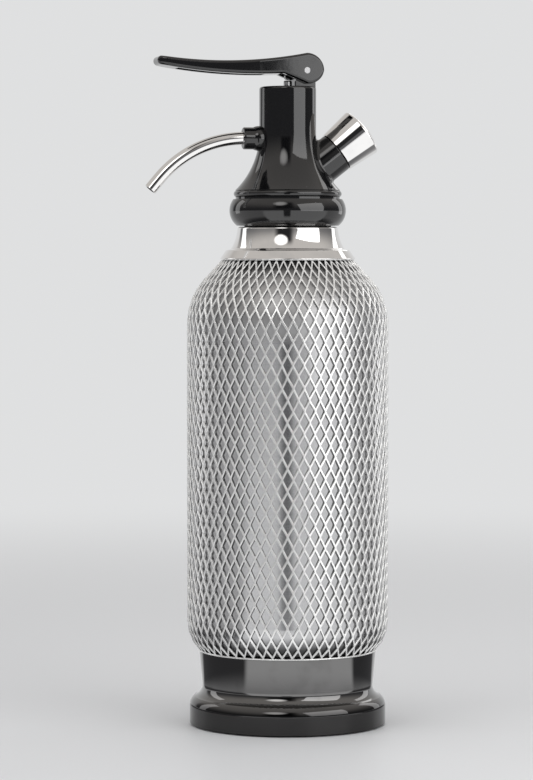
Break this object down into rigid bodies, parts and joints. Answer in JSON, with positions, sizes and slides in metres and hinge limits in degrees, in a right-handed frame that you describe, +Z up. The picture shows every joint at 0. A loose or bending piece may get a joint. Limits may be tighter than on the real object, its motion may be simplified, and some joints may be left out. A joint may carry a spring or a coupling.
{
  "type": "soda siphon",
  "caption": "Soda siphon: an aluminium bottle in a wire mesh sleeve, with a press lever, bent spout, screw-off head and capped charging nozzle.",
  "frame": {"origin": "on the bottle's axis at the underside of the foot pad", "axes": "+Z up along the bottle, spout towards -X, charging nozzle and cap towards +X"},
  "size_m": [0.1166, 0.096, 0.3192],
  "materials": {
    "bottle_aluminium": "satin polished",
    "mesh_steel": "bright expanded mesh",
    "chrome": "mirror",
    "black_chrome": "smoked mirror",
    "gloss_black": "high gloss",
    "matte_black": "matt moulded",
    "ring_plastic": "moulded",
    "riser_plastic": "natural, translucent white",
    "rubber": "matt",
    "gasket_rubber": "matt",
    "brass": "turned",
    "screw_steel": "bright"
  },
  "bodies": {
    "bottle": {"bottle_shell": "bottle_aluminium", "wire_mesh": "mesh_steel", "mesh_top_rim": "mesh_steel", "mesh_bottom_rim": "mesh_steel", "neck_collar": "chrome", "neck_ring": "ring_plastic", "base_cup": "black_chrome", "base_cushion": "rubber", "base_plate": "matte_black", "base_screw_1": "screw_steel", "base_screw_2": "screw_steel", "base_screw_3": "screw_steel", "foot_pad": "rubber"},
    "riser": {"riser_tube": "riser_plastic", "riser_flange": "riser_plastic", "head_gasket": "gasket_rubber", "riser_tip": "matte_black"},
    "head": {"head_shell": "gloss_black", "bell_thread": "ring_plastic", "valve_cage": "brass", "valve_seat": "brass", "valve_spring": "screw_steel", "stem_guide": "riser_plastic", "stem_seal": "gasket_rubber", "spout_ferrule": "gloss_black", "spout_tube": "chrome", "spout_seal": "gasket_rubber", "nozzle_body": "brass", "nozzle_seal": "gasket_rubber", "piercing_pin": "screw_steel", "check_sleeve": "gasket_rubber", "lever_pin": "screw_steel"},
    "lever": {"lever": "gloss_black"},
    "valve": {"valve_stem": "screw_steel", "valve_washer": "gasket_rubber", "valve_plunger": "brass"},
    "cap_liner": {"cap_gasket": "gasket_rubber"},
    "cap": {"cap_shell": "chrome", "cap_core": "matte_black"}
  },
  "joints": [
    {"name": "head_lift", "type": "slide", "parent": "bottle", "child": "riser", "axis": [0, 0, 1], "range_m": [0, 0.2145]},
    {"name": "head_turn", "type": "hinge", "parent": "riser", "child": "head", "pos_m": [0, 0, 0.25299], "axis": [0, 0, 1], "range_deg": [0, 900]},
    {"name": "lever_press", "type": "hinge", "parent": "head", "child": "lever", "pos_m": [0.0075, 0, 0.31099], "axis": [0, -1, 0], "range_deg": [0, 12], "stiffness_Nm_per_rad": 1.5, "springref_deg": -14.32},
    {"name": "valve_stroke", "type": "slide", "parent": "head", "child": "valve", "axis": [0, 0, -1], "range_m": [0, 0.0016], "deforming": ["valve_spring"]},
    {"name": "cap_lift", "type": "slide", "parent": "head", "child": "cap_liner", "axis": [0.788, 0, 0.6157], "range_m": [0, 0.03]},
    {"name": "cap_turn", "type": "hinge", "parent": "cap_liner", "child": "cap", "pos_m": [0, 0, 0.25409], "axis": [0.788, 0, 0.6157], "range_deg": [0, 900]}
  ],
  "couplings": [
    {"joint": "valve_stroke", "follows": "lever_press", "m_per_rad": 0.0069}
  ]
}
